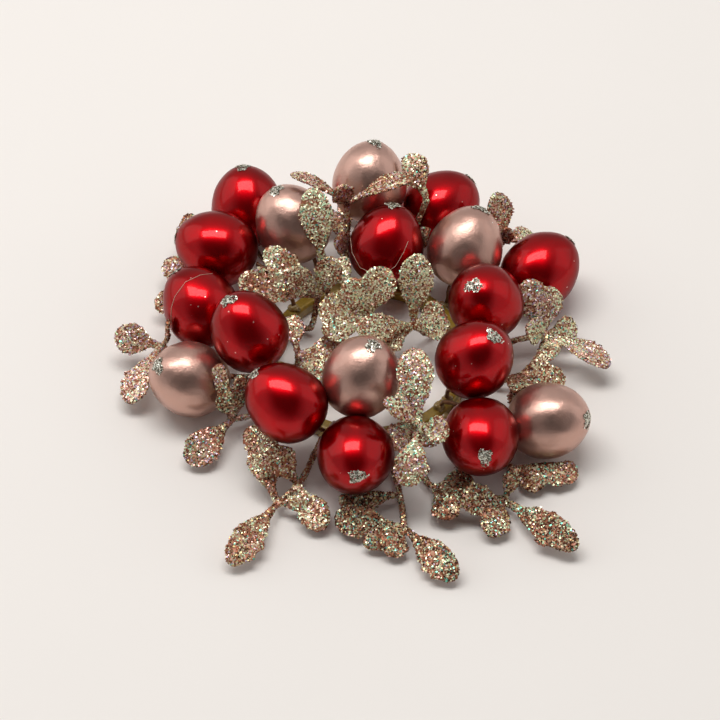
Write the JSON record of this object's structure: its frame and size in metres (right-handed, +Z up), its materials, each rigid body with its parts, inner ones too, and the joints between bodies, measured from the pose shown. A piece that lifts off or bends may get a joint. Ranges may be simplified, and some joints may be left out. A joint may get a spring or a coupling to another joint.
{
  "type": "artificial mistletoe wreath",
  "caption": "Small decorative table wreath of glossy red and satin rose-gold egg-shaped berries with glittered tips and glitter-coated spoon-shaped leaves, wired around a flat plastic ring.",
  "frame": {"origin": "On the surface that the wreath lies on, under the middle of its overall width and depth.", "axes": "+Z is up, out of the wreath's face. -Y is the front, where the three longest leaves reach out. +X is to the right of someone looking from the front."},
  "size_m": [0.1204, 0.1252, 0.032],
  "materials": {
    "red_berry": "pearlescent candy-red lacquer, glossy",
    "rose_berry": "satin metallic rose-gold paint, slightly pitted",
    "glitter_sprig": "copper-brown plastic under iridescent cream, mint, lilac, pink and gold glitter",
    "berry_wire": "brown plastic-covered wire",
    "ring": "translucent amber-gold plastic"
  },
  "bodies": {
    "root": {"base_ring": "ring", "rose_berry_back": "rose_berry", "rose_berry_wire_back": "berry_wire", "red_berry_back_left": "red_berry", "red_berry_wire_back_left": "berry_wire", "rose_berry_back_left": "rose_berry", "rose_berry_wire_back_left": "berry_wire", "red_berry_left_back": "red_berry", "red_berry_wire_left_back": "berry_wire", "red_berry_left": "red_berry", "red_berry_wire_left": "berry_wire", "red_berry_left_inner": "red_berry", "red_berry_wire_left_inner": "berry_wire", "rose_berry_left": "rose_berry", "rose_berry_wire_left": "berry_wire", "red_berry_front_left": "red_berry", "red_berry_wire_front_left": "berry_wire", "rose_berry_front": "rose_berry", "rose_berry_wire_front": "berry_wire", "red_berry_front": "red_berry", "red_berry_wire_front": "berry_wire", "red_berry_front_right": "red_berry", "red_berry_wire_front_right": "berry_wire", "red_berry_right_inner": "red_berry", "red_berry_wire_right_inner": "berry_wire", "red_berry_right": "red_berry", "red_berry_wire_right": "berry_wire", "red_berry_right_outer": "red_berry", "red_berry_wire_right_outer": "berry_wire", "rose_berry_back_right": "rose_berry", "rose_berry_wire_back_right": "berry_wire", "red_berry_back_right": "red_berry", "red_berry_wire_back_right": "berry_wire", "red_berry_back": "red_berry", "red_berry_wire_back": "berry_wire", "rose_berry_right": "rose_berry", "rose_berry_wire_right": "berry_wire", "sprig_left": "glitter_sprig", "sprig_left_front": "glitter_sprig", "sprig_front_left": "glitter_sprig", "sprig_front": "glitter_sprig", "sprig_front_right": "glitter_sprig", "sprig_right_front": "glitter_sprig", "sprig_right": "glitter_sprig", "sprig_right_lower": "glitter_sprig", "sprig_back_right": "glitter_sprig", "sprig_back_outer": "glitter_sprig", "sprig_back": "glitter_sprig", "sprig_back_low": "glitter_sprig", "sprig_back_left": "glitter_sprig", "sprig_back_inner": "glitter_sprig", "sprig_centre_left": "glitter_sprig", "sprig_centre": "glitter_sprig", "sprig_centre_front": "glitter_sprig", "sprig_front_inner": "glitter_sprig", "sprig_left_back": "glitter_sprig"}
  },
  "joints": []
}
